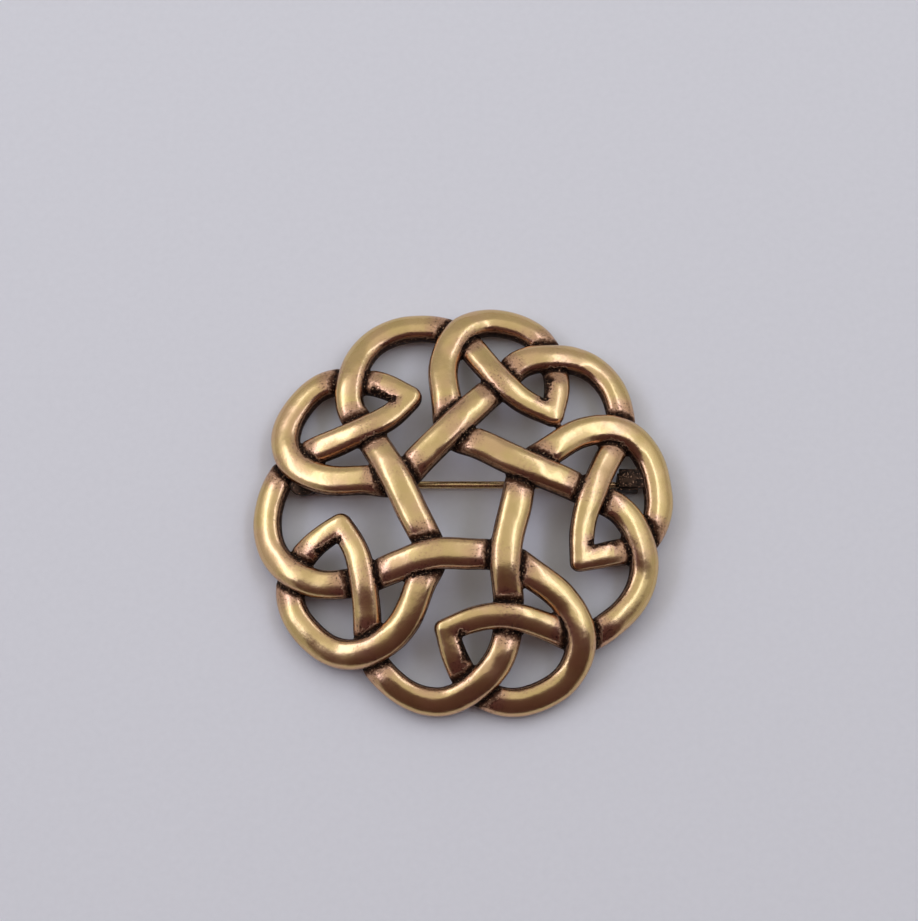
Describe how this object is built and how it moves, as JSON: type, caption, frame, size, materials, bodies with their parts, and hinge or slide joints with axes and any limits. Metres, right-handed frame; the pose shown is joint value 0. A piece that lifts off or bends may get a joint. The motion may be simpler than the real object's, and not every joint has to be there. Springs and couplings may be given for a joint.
{
  "type": "round openwork brooch",
  "caption": "Round domed brooch of endless interlaced knotwork in antiqued bronze, with a straight hinged bar pin and a plain hook catch behind it",
  "frame": {"origin": "under the middle of the brooch's box, on the surface that it lies on face up", "axes": "+Z out of the brooch's front, +X the right and +Y the top of the front view"},
  "size_m": [0.048, 0.0482, 0.0081],
  "materials": {
    "cast_bronze": "polished on the crowns, dark brown in the crossings",
    "pin_wire": "drawn wire, lightly polished",
    "rivet": "dull"
  },
  "bodies": {
    "brooch": {"knotwork": "cast_bronze", "hinge_rivet": "rivet"},
    "pin": {"pin_stem": "pin_wire"}
  },
  "joints": [
    {"name": "pin_hinge", "type": "hinge", "parent": "brooch", "child": "pin", "pos_m": [-0.018, 0.003, 0.00105], "axis": [0, 1, 0], "range_deg": [0, 100]}
  ]
}
